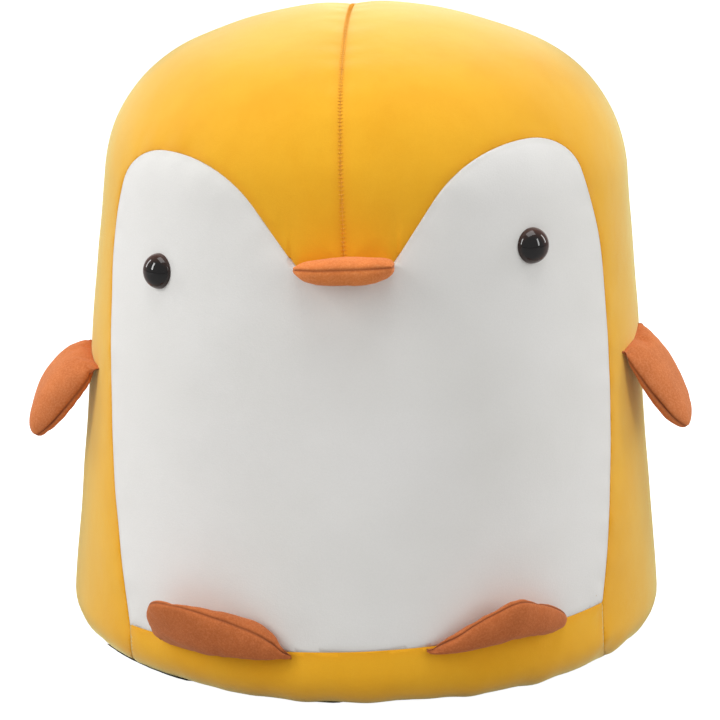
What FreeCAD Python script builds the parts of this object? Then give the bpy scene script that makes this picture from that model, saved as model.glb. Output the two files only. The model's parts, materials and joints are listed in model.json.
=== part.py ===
"""Upholstered penguin stool: a padded drum on a timber frame, with sewn-on soft beak, wings and feet.

Millimetres, +Z up, front towards -Y. The origin is on the floor, on the axis of the drum.
"""
import FreeCAD
import Part
import math
import os

from Sketcher import Constraint

DRIVING_SIZES = {
    # Outer face of the cover: a tapered drum with a domed top.
    "crown_top": 372.0,
    "base_radius": 180.0,
    "wall_taper": 5.3,
    "crown_radius": 250.0,
    "shoulder_radius": 89.0,
    "hem_radius": 20.0,
    "hem_bottom": 0.5,
    # Layers, from the outside in.
    "cover_thickness": 1.5,
    "wadding_thickness": 8.0,
    "foam_thickness": 20.0,
    "foam_corner_radius": 14.0,
    "fold_under_radius": 135.0,
    # Timber frame.
    "base_board_radius": 146.0,
    "top_board_radius": 119.5,
    "board_thickness": 12.0,
    "top_board_top": 292.0,
    "wall_board_thickness": 3.0,
    "post_width": 25.0,
    "post_circle": 100.0,
    "screw_radius": 2.0,
    "screw_head_radius": 4.0,
    "screw_length": 40.0,
    # Underside.
    "base_cloth_radius": 158.0,
    "staple_width": 10.0,
    "staple_wire": 0.6,
    "staple_leg": 8.0,
    "staple_circle": 142.0,
    # The sewn pattern sits turned on the upright drum, about a front-to-back axis at this height.
    "cover_lean": 2.6,
    "lean_height": 186.0,
    # White belly panel, drawn flat in front view.
    "belly_bottom_height": 35.5,
    "belly_corner_offset": 136.0,
    "belly_side_radius": 1000.0,
    "belly_shoulder_offset": 141.0,
    "belly_shoulder_height": 225.0,
    "belly_shoulder_radius": 254.0,
    "lobe_side_offset": 130.1,
    "lobe_side_height": 283.2,
    "lobe_top_offset": 100.0,
    "lobe_top_height": 305.5,
    "lobe_side_radius": 31.5,
    "lobe_inner_radius": 62.0,
    "lobe_inner_offset": 49.8,
    "lobe_inner_height": 279.9,
    "beak_seam_offset": 26.5,
    "beak_seam_height": 247.0,
    # Safety eyes, set a little unevenly.
    "left_eye_azimuth": 42.6,
    "left_eye_height": 239.6,
    "right_eye_azimuth": 39.5,
    "right_eye_height": 248.4,
    "eye_radius": 10.0,
    "eye_dome_height": 8.3,
    "eye_shank_radius": 2.0,
    "eye_shank_length": 9.0,
    "washer_radius": 10.0,
    "washer_thickness": 2.0,
    "washer_depth": 2.0,
    # Stuffed pouches: sewn on along a seam, with a reach away from it and a bulge on each side.
    "root_gap": 1.0,
    "pouch_cloth": 1.2,
    "wing_half_width": 30.0,
    "wing_reach": 61.0,
    "wing_outer_bulge": 13.0,
    "wing_inner_bulge": 4.5,
    "wing_azimuth": 76.0,
    "wing_height": 174.5,
    "wing_slope": 6.5,
    "left_wing_droop": 53.5,
    "right_wing_droop": 55.5,
    "foot_half_width": 46.0,
    "foot_reach": 33.0,
    "foot_top_bulge": 5.0,
    "foot_sole_bulge": 13.0,
    "left_foot_azimuth": 25.8,
    "right_foot_azimuth": 27.0,
    "foot_rise": 50.0,
    "beak_half_width": 26.5,
    "beak_reach": 22.0,
    "beak_bulge": 7.2,
    "beak_height": 246.5,
    "beak_rise": 4.5,
}
POST_COUNT = 6
STAPLE_COUNT = 18
SIDES = {"left": -1, "right": 1}

# Cross-sections along a pouch's seam: (place along the half width, share of the reach, share of the bulge).
WING_SECTIONS = [(-1, 0.6, 0.3), (-0.75, 0.85, 0.7), (0, 1, 1), (0.75, 0.85, 0.7), (1, 0.6, 0.3)]
FOOT_SECTIONS = [(-1, 0.5, 0.3), (-0.8, 0.85, 0.75), (-0.35, 1, 1), (0.2, 0.85, 0.85),
                 (0.65, 0.5, 0.5), (1, 0.12, 0.12)]
BEAK_SECTIONS = [(-1, 0.7, 0.3), (-0.8, 0.92, 0.75), (0, 1, 1), (0.8, 0.92, 0.75), (1, 0.7, 0.3)]

# Expressions used by several sub-parts, and a distance past the outside of everything.
INNER_FLOOR = "sizes.hem_bottom + sizes.cover_thickness"
FOAM_INSET = "sizes.cover_thickness + sizes.wadding_thickness"
WALL_INSET = f"{FOAM_INSET} + sizes.foam_thickness"
FAR = 220.0
START, END, MIDDLE = 1, 2, 3

doc = FreeCAD.newDocument("penguin_stool")
sheet = doc.addObject("Spreadsheet::Sheet", "sizes")
for row, (alias, value) in enumerate(DRIVING_SIZES.items(), start=1):
    sheet.set(f"A{row}", alias)
    sheet.set(f"B{row}", str(value))
    sheet.setAlias(f"B{row}", alias)
doc.recompute()
nodes = []


def size(alias):
    return float(sheet.get(alias))


def keep(shape_object, label):
    """Name a finished sub-part and list it for writing."""
    shape_object.Label = label
    nodes.append(shape_object)
    return shape_object


def at(position=(0, 0, 0), axis=(0, 0, 1), angle=0.0):
    return FreeCAD.Placement(FreeCAD.Vector(*position), FreeCAD.Rotation(FreeCAD.Vector(*axis), angle))


def primitive(kind, name, placement, **expressions):
    """A Part primitive whose sizes are bound to expressions in the sheet's cells."""
    shape_object = doc.addObject(f"Part::{kind}", name)
    shape_object.Placement = placement
    for size_name, expression in expressions.items():
        shape_object.setExpression(size_name, expression)
    return shape_object


def boolean(kind, name, base, tool):
    result = doc.addObject(f"Part::{kind}", name)
    result.Base = base
    result.Tool = tool
    return result


def group(kind, name, members):
    """A Part::MultiFuse or Part::Compound of several objects."""
    result = doc.addObject(f"Part::{kind}", name)
    if kind == "Compound":
        result.Links = members
    else:
        result.Shapes = members
    return result


def lean():
    """The turn of the sewn pattern about the front-to-back axis."""
    pivot = FreeCAD.Vector(0, 0, size("lean_height"))
    turn = FreeCAD.Rotation(FreeCAD.Vector(0, -1, 0), size("cover_lean"))
    return FreeCAD.Placement(FreeCAD.Vector(), turn, pivot)


def cover_radius(height):
    """Radius of the cover's straight wall at a height."""
    return size("base_radius") - (height - size("hem_bottom")) * math.tan(math.radians(size("wall_taper")))


def on_cover(azimuth, height, stand_off=0.0):
    """Place on the drum at a spot of the leaning pattern, in degrees from the front and millimetres up.

    Local +Y points straight out and local +Z up, turned with the pattern.
    """
    angle = math.radians(azimuth)
    radius = cover_radius(height)
    mark = lean().multVec(FreeCAD.Vector(radius * math.sin(angle), -radius * math.cos(angle), height))
    angle = math.atan2(mark.x, -mark.y)
    radius = cover_radius(mark.z) + stand_off
    spot = (radius * math.sin(angle), -radius * math.cos(angle), mark.z)
    twist = at(axis=(0, 1, 0), angle=size("cover_lean") * math.cos(angle))
    return at(spot, angle=math.degrees(angle) + 180) * twist


def new_body(name):
    body = doc.addObject("PartDesign::Body", name)
    body.AllowCompound = True
    return body


def new_sketch(body, plane, name):
    sketch = body.newObject("Sketcher::SketchObject", name)
    support = next(feature for feature in body.Origin.OriginFeatures if feature.Role == plane)
    sketch.AttachmentSupport = [(support, "")]
    sketch.MapMode = "FlatFace"
    return sketch


def evaluate(expression):
    value = sheet.evalExpression(expression)
    return float(getattr(value, "Value", value))


def constrain(sketch, expression, kind, *arguments):
    """Add a dimension at the value its expression has now, and bind it to that expression."""
    value = evaluate(expression)
    if kind == "Angle":
        value = math.radians(value)
    index = sketch.addConstraint(Constraint(kind, *arguments, value))
    sketch.setExpression(f"Constraints[{index}]", expression)


def point(x, y):
    return FreeCAD.Vector(x, y, 0)


def drum_outline(inset, bottom, corner):
    """Points of the drum's half section, pulled in by an inset, where its sketch starts out.

    The shoulder's centre is inside the wall by the shoulder radius, and inside the crown by the
    difference of their radii, which gives a quadratic for its height.
    """
    taper = math.radians(size("wall_taper"))
    top = size("crown_top") - inset
    crown, shoulder = size("crown_radius") - inset, size("shoulder_radius") - inset
    crown_centre = top - crown
    wall_foot = size("base_radius") + size("hem_bottom") * math.tan(taper) - inset / math.cos(taper)

    def inside_wall(distance, height):
        return wall_foot - distance / math.cos(taper) - height * math.tan(taper)

    square_term = 1 + math.tan(taper) ** 2
    linear_term = -2 * inside_wall(shoulder, 0) * math.tan(taper) - 2 * crown_centre
    plain_term = inside_wall(shoulder, 0) ** 2 + crown_centre ** 2 - (crown - shoulder) ** 2
    root = math.sqrt(linear_term ** 2 - 4 * square_term * plain_term)
    height = (root - linear_term) / (2 * square_term)
    shoulder_centre = point(inside_wall(shoulder, height), height)
    lift = math.atan2(height - crown_centre, shoulder_centre.x)
    hem_centre = point(inside_wall(corner, bottom + corner), bottom + corner)
    normal = point(math.cos(taper), math.sin(taper))
    return {
        "top": point(0, top),
        "crown_centre": point(0, crown_centre),
        "crown_end": point(0, crown_centre) + point(math.cos(lift), math.sin(lift)) * crown,
        "shoulder_centre": shoulder_centre,
        "wall_top": shoulder_centre + normal * shoulder,
        "wall_bottom": hem_centre + normal * corner,
        "hem_centre": hem_centre,
        "hem_end": point(hem_centre.x, bottom),
        "centre": point(0, bottom),
    }


def arc_about(centre, start, end):
    """Counter-clockwise arc from start to end."""
    circle = Part.Circle(centre, FreeCAD.Vector(0, 0, 1), (start - centre).Length)
    return Part.ArcOfCircle(circle, circle.parameter(start), circle.parameter(end))


def arc_through(start, end, radius):
    """Counter-clockwise arc of a radius from start to end, turning less than half a circle."""
    chord = end - start
    left = point(-chord.y, chord.x) / chord.Length
    centre = (start + end) / 2 + left * math.sqrt(radius ** 2 - (chord.Length / 2) ** 2)
    return arc_about(centre, start, end)


def drum(name, inset, bottom, corner):
    """A solid drum whose outer face is the cover's, pulled in by an inset; arguments are expressions."""
    body = new_body(name)
    sketch = new_sketch(body, "XZ_Plane", f"{name}_section")
    values = [evaluate(expression) for expression in (inset, bottom, corner)]
    at_point = drum_outline(*values)
    crown, shoulder, wall, hem, floor, axis = sketch.addGeometry([
        arc_about(at_point["crown_centre"], at_point["crown_end"], at_point["top"]),
        arc_about(at_point["shoulder_centre"], at_point["wall_top"], at_point["crown_end"]),
        Part.LineSegment(at_point["wall_bottom"], at_point["wall_top"]),
        arc_about(at_point["hem_centre"], at_point["hem_end"], at_point["wall_bottom"]),
        Part.LineSegment(at_point["centre"], at_point["hem_end"]),
        Part.LineSegment(at_point["top"], at_point["centre"]),
    ], False)
    sketch.addConstraint([
        Constraint("Tangent", crown, START, shoulder, END),
        Constraint("Tangent", shoulder, START, wall, END),
        Constraint("Tangent", hem, END, wall, START),
        Constraint("Tangent", hem, START, floor, END),
        Constraint("Coincident", floor, START, axis, END),
        Constraint("Coincident", crown, END, axis, START),
        Constraint("Horizontal", floor),
        Constraint("PointOnObject", axis, START, -2),
        Constraint("PointOnObject", axis, END, -2),
        Constraint("PointOnObject", crown, MIDDLE, -2),
    ])
    constrain(sketch, f"sizes.crown_top - ({inset})", "DistanceY", -1, 1, axis, START)
    constrain(sketch, bottom, "DistanceY", -1, 1, axis, END)
    constrain(sketch, f"sizes.crown_radius - ({inset})", "Radius", crown)
    constrain(sketch, f"sizes.shoulder_radius - ({inset})", "Radius", shoulder)
    constrain(sketch, corner, "Radius", hem)
    constrain(sketch, "90 + sizes.wall_taper", "Angle", -1, 1, wall, START)
    foot_radius = size("base_radius") - values[0] / math.cos(math.radians(size("wall_taper")))
    wall_foot = sketch.addGeometry(Part.Point(point(foot_radius, size("hem_bottom"))), True)
    sketch.addConstraint(Constraint("PointOnObject", wall_foot, START, wall))
    constrain(sketch, f"sizes.base_radius - ({inset}) / cos(sizes.wall_taper * 1 deg)",
              "DistanceX", -1, 1, wall_foot, START)
    constrain(sketch, "sizes.hem_bottom", "DistanceY", -1, 1, wall_foot, START)
    turn = body.newObject("PartDesign::Revolution", f"{name}_turn")
    turn.Profile = sketch
    turn.ReferenceAxis = (sketch, ["V_Axis"])
    turn.Angle = 360
    return body


def wall_radius(height, inset):
    """Expression for the radius of a straight wall inside the cover's, at a height."""
    return (f"sizes.base_radius - ({height} - sizes.hem_bottom) * tan(sizes.wall_taper * 1 deg)"
            f" - ({inset}) / cos(sizes.wall_taper * 1 deg)")


def belly_prism():
    """The white panel's outline, drawn in front view and run back to the drum's middle plane."""
    body = new_body("belly_prism")
    sketch = new_sketch(body, "XZ_Plane", "belly_outline")
    corners = ["belly_corner_offset", "belly_shoulder_offset", "lobe_side_offset", "lobe_top_offset",
               "lobe_inner_offset", "beak_seam_offset"]
    heights = ["belly_bottom_height", "belly_shoulder_height", "lobe_side_height", "lobe_top_height",
               "lobe_inner_height", "beak_seam_height"]
    bulges = ["belly_side_radius", "belly_shoulder_radius", "lobe_side_radius", "lobe_inner_radius", None]
    ends = {}
    for side in (1, -1):
        spots = [point(side * size(across), size(up)) for across, up in zip(corners, heights)]
        chain = []
        for start, end, bulge in zip(spots, spots[1:], bulges):
            if bulge:
                first, last = (start, end) if side > 0 else (end, start)
                edge = arc_through(first, last, size(bulge))
            else:
                edge = Part.LineSegment(start, end)
            chain.append(sketch.addGeometry(edge, False))
        for index, bulge in enumerate(bulges):
            if bulge:
                constrain(sketch, f"sizes.{bulge}", "Radius", chain[index])
        near = [END if bulge and side < 0 else START for bulge in bulges]
        far = [START if end == END else END for end in near]
        for index in range(len(chain) - 1):
            sketch.addConstraint(Constraint("Coincident", chain[index], far[index],
                                            chain[index + 1], near[index + 1]))
        joints = list(zip(chain, near)) + [(chain[-1], far[-1])]
        for (edge, end), across, up in zip(joints, corners, heights):
            constrain(sketch, f"{side} * sizes.{across}", "DistanceX", -1, 1, edge, end)
            constrain(sketch, f"sizes.{up}", "DistanceY", -1, 1, edge, end)
        ends[side] = (joints[0], joints[-1], spots[0], spots[-1])
    for place in (0, 1):
        closing = sketch.addGeometry(Part.LineSegment(ends[-1][place + 2], ends[1][place + 2]), False)
        sketch.addConstraint(Constraint("Coincident", closing, START, *ends[-1][place]))
        sketch.addConstraint(Constraint("Coincident", closing, END, *ends[1][place]))
    pad = body.newObject("PartDesign::Pad", "belly_run")
    pad.Profile = sketch
    pad.Length = FAR
    body.Placement = lean()
    return body


def box(name, low, high, placement):
    """A plain box between two corners, before it is placed."""
    result = doc.addObject("Part::Box", name)
    result.Length, result.Width, result.Height = (top - bottom for bottom, top in zip(low, high))
    result.Placement = placement * at(low)
    return result


def make_eyes():
    """Safety eyes: a dome on a shank that runs through the cover into a washer in the wadding."""
    tilt = at(axis=(1, 0, 0), angle=size("wall_taper") - 90)
    cutters = []
    for side, sign in SIDES.items():
        place = on_cover(sign * size(f"{side}_eye_azimuth"), size(f"{side}_eye_height")) * tilt
        dome = primitive("Ellipsoid", f"{side}_dome", place, Radius1="sizes.eye_dome_height",
                         Radius2="sizes.eye_radius", Radius3="sizes.eye_radius")
        dome.Angle1 = 0
        shank = primitive("Cylinder", f"{side}_shank", place * at((0, 0, -size("eye_shank_length"))),
                          Radius="sizes.eye_shank_radius", Height="sizes.eye_shank_length")
        eye = group("MultiFuse", f"{side}_eye_blank", [dome, shank])
        keep(eye, f"eye_{side}")
        back = size("washer_depth") + size("washer_thickness")
        disc = primitive("Cylinder", f"{side}_washer_disc", place * at((0, 0, -back)),
                         Radius="sizes.washer_radius", Height="sizes.washer_thickness")
        keep(boolean("Cut", f"{side}_washer", disc, shank), f"eye_washer_{side}")
        hole = primitive("Cylinder", f"{side}_eye_hole", place * at((0, 0, -size("eye_shank_length"))),
                         Radius="sizes.eye_shank_radius",
                         Height="sizes.eye_shank_length + sizes.eye_dome_height")
        pocket = primitive("Cylinder", f"{side}_pocket", place * at((0, 0, -size("eye_shank_length"))),
                           Radius="sizes.washer_radius + 0.5", Height="sizes.eye_shank_length - 0.5")
        cutters += [(hole, pocket)]
    return cutters


def make_cover(eye_holes):
    """Sewn cover in four panels: two sides, the white belly and the band across the front of the hem."""
    outer = drum("cover_outside", "0", "sizes.hem_bottom", "sizes.hem_radius")
    inner = drum("cover_inside", "sizes.cover_thickness", INNER_FLOOR,
                 "sizes.hem_radius - sizes.cover_thickness")
    opening = primitive("Cylinder", "cover_opening", at(), Radius="sizes.fold_under_radius",
                        Height="sizes.hem_bottom + 2 * sizes.cover_thickness")
    shell = boolean("Cut", "cover_shell", outer, inner)
    shell = boolean("Cut", "cover_open_shell", shell, opening)
    outline = belly_prism()
    belly = boolean("Common", "belly_cloth", shell, outline)
    corner, seam = size("belly_corner_offset"), size("belly_bottom_height")
    hem = box("hem_box", (-corner, -FAR, -FAR), (corner, 0, seam), lean())
    for index, (hole, _) in enumerate(eye_holes):
        belly = boolean("Cut", f"belly_with_hole_{index}", belly, hole)
    keep(belly, "belly_panel")
    keep(boolean("Common", "hem_cloth", shell, hem), "front_hem_band")
    sides = boolean("Cut", "sides_and_band", shell, outline)
    sides = boolean("Cut", "side_cloth", sides, hem)
    for side, sign in SIDES.items():
        low, high = sorted((0, sign * FAR))
        half = box(f"{side}_half", (low, -FAR, -FAR), (high, FAR, 2 * FAR), lean())
        keep(boolean("Common", f"{side}_cloth", sides, half), f"{side}_side_panel")
    return inner


def make_padding(cover_inside, eye_holes):
    """Wadding under the whole cover, a domed seat foam and a foam sleeve round the wall."""
    inside = drum("foam_outside", FOAM_INSET, INNER_FLOOR, "sizes.foam_corner_radius")
    wadding = boolean("Cut", "wadding_blank", cover_inside, inside)
    for index, (_, pocket) in enumerate(eye_holes):
        wadding = boolean("Cut", f"wadding_pocket_{index}", wadding, pocket)
    keep(wadding, "wadding")
    above = primitive("Cylinder", "above_top_board", at((0, 0, size("top_board_top"))),
                      Radius="sizes.base_radius", Height="sizes.crown_top")
    keep(boolean("Common", "seat_foam_blank", inside, above), "seat_foam")
    sleeve = boolean("Cut", "foam_below_top", inside, above)
    wall = cone_inside("wall_outside", WALL_INSET)
    keep(boolean("Cut", "side_foam_blank", sleeve, wall), "side_foam")
    return wall


def cone_inside(name, inset):
    """A tapered solid from the base board's underside to the top board's top, inside the cover."""
    return primitive("Cone", name, at((0, 0, evaluate(INNER_FLOOR))),
                     Radius1=wall_radius(INNER_FLOOR, inset),
                     Radius2=wall_radius("sizes.top_board_top", inset),
                     Height=f"sizes.top_board_top - ({INNER_FLOOR})")


def make_screws(name, head_height, upward):
    """Countersunk screws, one into the end of each post."""
    members = []
    turn = at() if upward else at(axis=(1, 0, 0), angle=180)
    for index in range(POST_COUNT):
        angle = math.radians(360 * index / POST_COUNT)
        spot = (size("post_circle") * math.cos(angle), size("post_circle") * math.sin(angle), head_height)
        place = at(spot) * turn
        head = primitive("Cone", f"{name}_head_{index}", place, Radius1="sizes.screw_head_radius",
                         Radius2="sizes.screw_radius",
                         Height="sizes.screw_head_radius - sizes.screw_radius")
        shank = primitive("Cylinder", f"{name}_shank_{index}", place, Radius="sizes.screw_radius",
                          Height="sizes.screw_length")
        members.append(group("MultiFuse", f"{name}_screw_{index}", [head, shank]))
    return keep(group("Compound", f"{name}_blank", members), name)


def make_frame(wall_outside):
    """Plywood base and top boards, six pine posts between them and a bent hardboard wall round them."""
    floor, top = evaluate(INNER_FLOOR), size("top_board_top")
    board = size("board_thickness")
    wall_inside = cone_inside("wall_inside", f"{WALL_INSET} + sizes.wall_board_thickness")
    keep(boolean("Cut", "side_wall_blank", wall_outside, wall_inside), "side_wall")
    base_screws = make_screws("base_screws", floor, True)
    top_screws = make_screws("top_screws", top, False)
    for index in range(POST_COUNT):
        width = size("post_width")
        turn = at(angle=360 * index / POST_COUNT)
        post = primitive("Box", f"post_blank_{index}",
                         turn * at((size("post_circle") - width / 2, -width / 2, floor + board)),
                         Length="sizes.post_width", Width="sizes.post_width",
                         Height=f"sizes.top_board_top - ({INNER_FLOOR}) - 2 * sizes.board_thickness")
        post = boolean("Cut", f"post_base_hole_{index}", post, base_screws)
        keep(boolean("Cut", f"post_holes_{index}", post, top_screws), f"frame_post_{index + 1}")
    base = primitive("Cylinder", "base_board_blank", at((0, 0, floor)),
                     Radius="sizes.base_board_radius", Height="sizes.board_thickness")
    lid = primitive("Cylinder", "top_board_blank", at((0, 0, top - board)),
                    Radius="sizes.top_board_radius", Height="sizes.board_thickness")
    keep(boolean("Cut", "top_board_holes", lid, top_screws), "top_board")
    keep(boolean("Cut", "base_board_holes", base, base_screws), "base_board")


def make_underside():
    """Black base cloth under the folded cover edge, and the staples that hold that edge to the board."""
    cloth = primitive("Cylinder", "base_cloth_disc", at(), Radius="sizes.base_cloth_radius",
                      Height="sizes.hem_bottom")
    keep(cloth, "base_cloth")
    wire, width = size("staple_wire"), size("staple_width")
    seat = at((size("staple_circle"), 0, size("hem_bottom")))
    staples = []
    for index in range(STAPLE_COUNT):
        place = at(angle=360 * (index + 0.5) / STAPLE_COUNT) * seat
        whole = box(f"staple_bar_{index}", (0, -width / 2, 0), (wire, width / 2, size("staple_leg")), place)
        gap = box(f"staple_gap_{index}", (-1, wire - width / 2, wire), (1, width / 2 - wire, FAR), place)
        staples.append(boolean("Cut", f"staple_{index}", whole, gap))
    keep(group("Compound", "staple_ring", staples), "cover_staples")


def pouch_solid(name, kind, height, rise, sections, bulges, inset):
    """A pouch, or the half of it to one side of its middle surface, lofted along its seam.

    The chord of each section lies on the middle surface, at an angle of rise above the horizontal.
    An arc bulges up from it for facing 1 and down for facing -1; with one bulge the chord closes the
    section. The seam curves round the cover. An inset draws the same form smaller, inside the cloth.
    """
    body = new_body(name)
    seam_curve = f"({wall_radius(height, 0)} + sizes.root_gap)"
    drawn = []
    for index, (along, reach_share, bulge_share) in enumerate(sections):
        sketch = new_sketch(body, "YZ_Plane", f"{name}_section_{index}")
        station = f"{along} * (sizes.{kind}_half_width - {inset})"
        sketch.setExpression("AttachmentOffset.Base.z", station)
        length = f"({reach_share} * (sizes.{kind}_reach - 2 * {inset}))"
        across = (f"{reach_share} * {inset} * cos({rise} * 1 deg)"
                  f" - {seam_curve} + sqrt({seam_curve}^2 - ({station})^2)")
        up = f"{reach_share} * {inset} * sin({rise} * 1 deg)"
        angle = math.radians(evaluate(rise))
        start = point(evaluate(across), evaluate(up))
        end = start + point(math.cos(angle), math.sin(angle)) * evaluate(length)
        chord = sketch.addGeometry(Part.LineSegment(start, end), len(bulges) > 1)
        constrain(sketch, across, "DistanceX", -1, 1, chord, START)
        constrain(sketch, up, "DistanceY", -1, 1, chord, START)
        constrain(sketch, length, "Distance", chord)
        constrain(sketch, rise, "Angle", -1, 1, chord, START)
        for facing, bulge in bulges.items():
            depth = f"({bulge_share} * (sizes.{bulge} - {inset}))"
            radius = f"({length}^2 / 4 + {depth}^2) / (2 * {depth})"
            first, last = (end, start) if facing > 0 else (start, end)
            arc = sketch.addGeometry(arc_through(first, last, evaluate(radius)), False)
            near, far = (END, START) if facing > 0 else (START, END)
            sketch.addConstraint([Constraint("Coincident", chord, START, arc, near),
                                  Constraint("Coincident", chord, END, arc, far)])
            constrain(sketch, radius, "Radius", arc)
        drawn.append(sketch)
    loft = body.newObject("PartDesign::AdditiveLoft", f"{name}_loft")
    loft.Profile = drawn[0]
    loft.Sections = drawn[1:]
    return body


def make_pouch(label, kind, height, rise, sections, place, panels):
    """Two cloth panels sewn round a stuffing; panels maps a facing to the panel's name and its bulge."""
    shape = (kind, height, rise, sections)
    bulges = {facing: bulge for facing, (_, bulge) in panels.items()}
    stuffing = pouch_solid(f"{label}_filling", *shape, bulges, "sizes.pouch_cloth")
    stuffing.Placement = place
    for facing, (panel, bulge) in panels.items():
        half = pouch_solid(f"{label}_{panel}_outside", *shape, {facing: bulge}, "0")
        half.Placement = place
        keep(boolean("Cut", f"{label}_{panel}_cloth", half, stuffing), f"{label}_{panel}")
    keep(stuffing, f"{label}_stuffing")


def make_pouches():
    """Soft beak, wings and feet, each sewn to the cover along one edge."""
    gap = size("root_gap")
    make_pouch("beak", "beak", "sizes.beak_height", "sizes.beak_rise", BEAK_SECTIONS,
               on_cover(0, size("beak_height"), gap),
               {1: ("upper_panel", "beak_bulge"), -1: ("lower_panel", "beak_bulge")})
    for side, sign in SIDES.items():
        slope = at(axis=(0, 1, 0), angle=sign * size("wing_slope"))
        make_pouch(f"{side}_wing", "wing", "sizes.wing_height", f"-sizes.{side}_wing_droop", WING_SECTIONS,
                   on_cover(sign * size("wing_azimuth"), size("wing_height"), gap) * slope,
                   {1: ("outer_panel", "wing_outer_bulge"), -1: ("inner_panel", "wing_inner_bulge")})
        outline = [(sign * along, reach, bulge) for along, reach, bulge in FOOT_SECTIONS]
        make_pouch(f"{side}_foot", "foot", "sizes.belly_bottom_height", "sizes.foot_rise", outline,
                   on_cover(sign * size(f"{side}_foot_azimuth"), size("belly_bottom_height"), gap),
                   {1: ("top_panel", "foot_top_bulge"), -1: ("sole_panel", "foot_sole_bulge")})


def write_parts():
    """Recompute, stop on any failed object, then write each sub-part to its own file."""
    doc.recompute()
    failed = [item.Name for item in doc.Objects if {"Invalid", "Error"} & set(item.State)]
    failed += [node.Label for node in nodes if node.Shape.isNull() or not node.Shape.isValid()]
    if failed:
        raise RuntimeError(f"these did not build: {failed}")
    os.makedirs("parts", exist_ok=True)
    for node in nodes:
        node.Shape.exportStep(f"parts/{node.Label}.step")


eye_holes = make_eyes()
cover_inside = make_cover(eye_holes)
wall_outside = make_padding(cover_inside, eye_holes)
make_frame(wall_outside)
make_underside()
make_pouches()
write_parts()
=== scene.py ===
"""Looks for the penguin stool: sewn plush cover, stuffed pouches, padding, frame, lights and camera.

Metres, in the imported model's frame: +Z up, front towards -Y, origin on the floor on the drum's axis.
"""
import json
import math

import bmesh
import bpy
import numpy as np
from mathutils import Matrix, Vector, noise
from mathutils.kdtree import KDTree

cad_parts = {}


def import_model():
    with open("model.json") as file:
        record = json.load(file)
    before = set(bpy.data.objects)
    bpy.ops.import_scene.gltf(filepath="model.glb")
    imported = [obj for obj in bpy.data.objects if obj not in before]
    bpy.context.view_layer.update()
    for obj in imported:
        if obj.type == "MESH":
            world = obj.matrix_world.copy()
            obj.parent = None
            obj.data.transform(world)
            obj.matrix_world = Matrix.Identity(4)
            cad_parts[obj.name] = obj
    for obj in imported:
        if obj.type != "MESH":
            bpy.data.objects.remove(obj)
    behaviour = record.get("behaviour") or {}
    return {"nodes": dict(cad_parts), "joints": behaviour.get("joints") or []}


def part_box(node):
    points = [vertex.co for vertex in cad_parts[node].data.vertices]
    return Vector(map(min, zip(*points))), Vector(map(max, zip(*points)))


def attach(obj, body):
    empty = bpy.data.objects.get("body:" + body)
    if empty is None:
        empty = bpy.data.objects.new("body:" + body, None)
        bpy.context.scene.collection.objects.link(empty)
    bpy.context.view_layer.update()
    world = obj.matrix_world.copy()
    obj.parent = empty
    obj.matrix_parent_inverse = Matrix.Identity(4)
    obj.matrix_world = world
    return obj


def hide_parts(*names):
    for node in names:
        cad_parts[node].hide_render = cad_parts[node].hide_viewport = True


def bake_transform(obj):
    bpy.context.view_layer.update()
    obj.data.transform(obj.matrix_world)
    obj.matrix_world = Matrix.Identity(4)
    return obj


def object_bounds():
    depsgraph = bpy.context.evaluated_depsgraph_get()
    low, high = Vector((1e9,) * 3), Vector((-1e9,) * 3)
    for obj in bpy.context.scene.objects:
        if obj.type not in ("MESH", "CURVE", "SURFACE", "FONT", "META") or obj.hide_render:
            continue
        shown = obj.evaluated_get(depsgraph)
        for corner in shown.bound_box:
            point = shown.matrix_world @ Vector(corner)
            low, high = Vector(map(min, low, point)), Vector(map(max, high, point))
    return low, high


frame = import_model()
cad_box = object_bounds()

# The cover's sizes, as in the CAD model: a tapered drum with a domed top, its pattern leaning a little.
CROWN_TOP = cad_box[1].z
BASE_RADIUS = 0.180
WALL_TAPER = math.radians(5.3)
CROWN_RADIUS = 0.250
SHOULDER_RADIUS = 0.089
HEM_RADIUS = 0.020
HEM_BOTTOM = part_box("base_cloth")[1].z
FOLD_UNDER_RADIUS = 0.135
COVER_LEAN = math.radians(2.6)
LEAN_HEIGHT = 0.186
BASE_CLOTH_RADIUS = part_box("base_cloth")[1].x
TOP_BOARD_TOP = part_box("top_board")[1].z

# Layers under the cover's outer face.
CLOTH = 0.0013
UNDERSIDE_CLOTH = 0.0003
WELD_REACH = 1e-6
WADDING_START = 0.0042
WADDING_END = 0.0093
FOAM_END = 0.0295
LAYER_GAP = 0.0003
LUMP_DEPTH = 0.0004
LUMP_RATE = 45
DENT_DEPTH = 0.003
DENT_REACH = 0.016

# White belly panel: the right half of its outline, from the bottom corner up to the beak, in front view.
# Each stretch ends at a point and is straight, or an arc of a radius.
BELLY_CORNER = (0.136, 0.0355)
BELLY_STRETCHES = [((0.141, 0.225), 1.0), ((0.1301, 0.2832), 0.254), ((0.100, 0.3055), 0.0315),
                   ((0.0498, 0.2799), 0.062), ((0.0265, 0.247), None)]
BEAK_SEAM_HEIGHT = BELLY_STRETCHES[-1][0][1]

# Relief of the sewn cover.
SEAM_DEPTH = 0.0008
SEAM_WIDTH = 0.0024
VALLEY_DEPTH = 0.0013
VALLEY_WIDTH = 0.011
PUCKER_DEPTH = 0.0006
PUCKER_REACH = 0.0045
PUCKER_RATE = 75.0
SOFTNESS = 0.0009
SOFT_RATE = 13.0
HEM_RIPPLE = 0.0014
LOWEST_COVER = 0.8 * HEM_BOTTOM
MIDDLE_SEAM_REACH = 0.03
STITCH_STEP = 0.0023
STITCH_HALF_LENGTH = 0.0015
STITCH_RADIUS = 0.00022
SEAM_END_TURN = 0.03

FACE_CELLS = 112
FINE_BAND = 0.008
BORDER_SLIDE = 0.22

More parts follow.
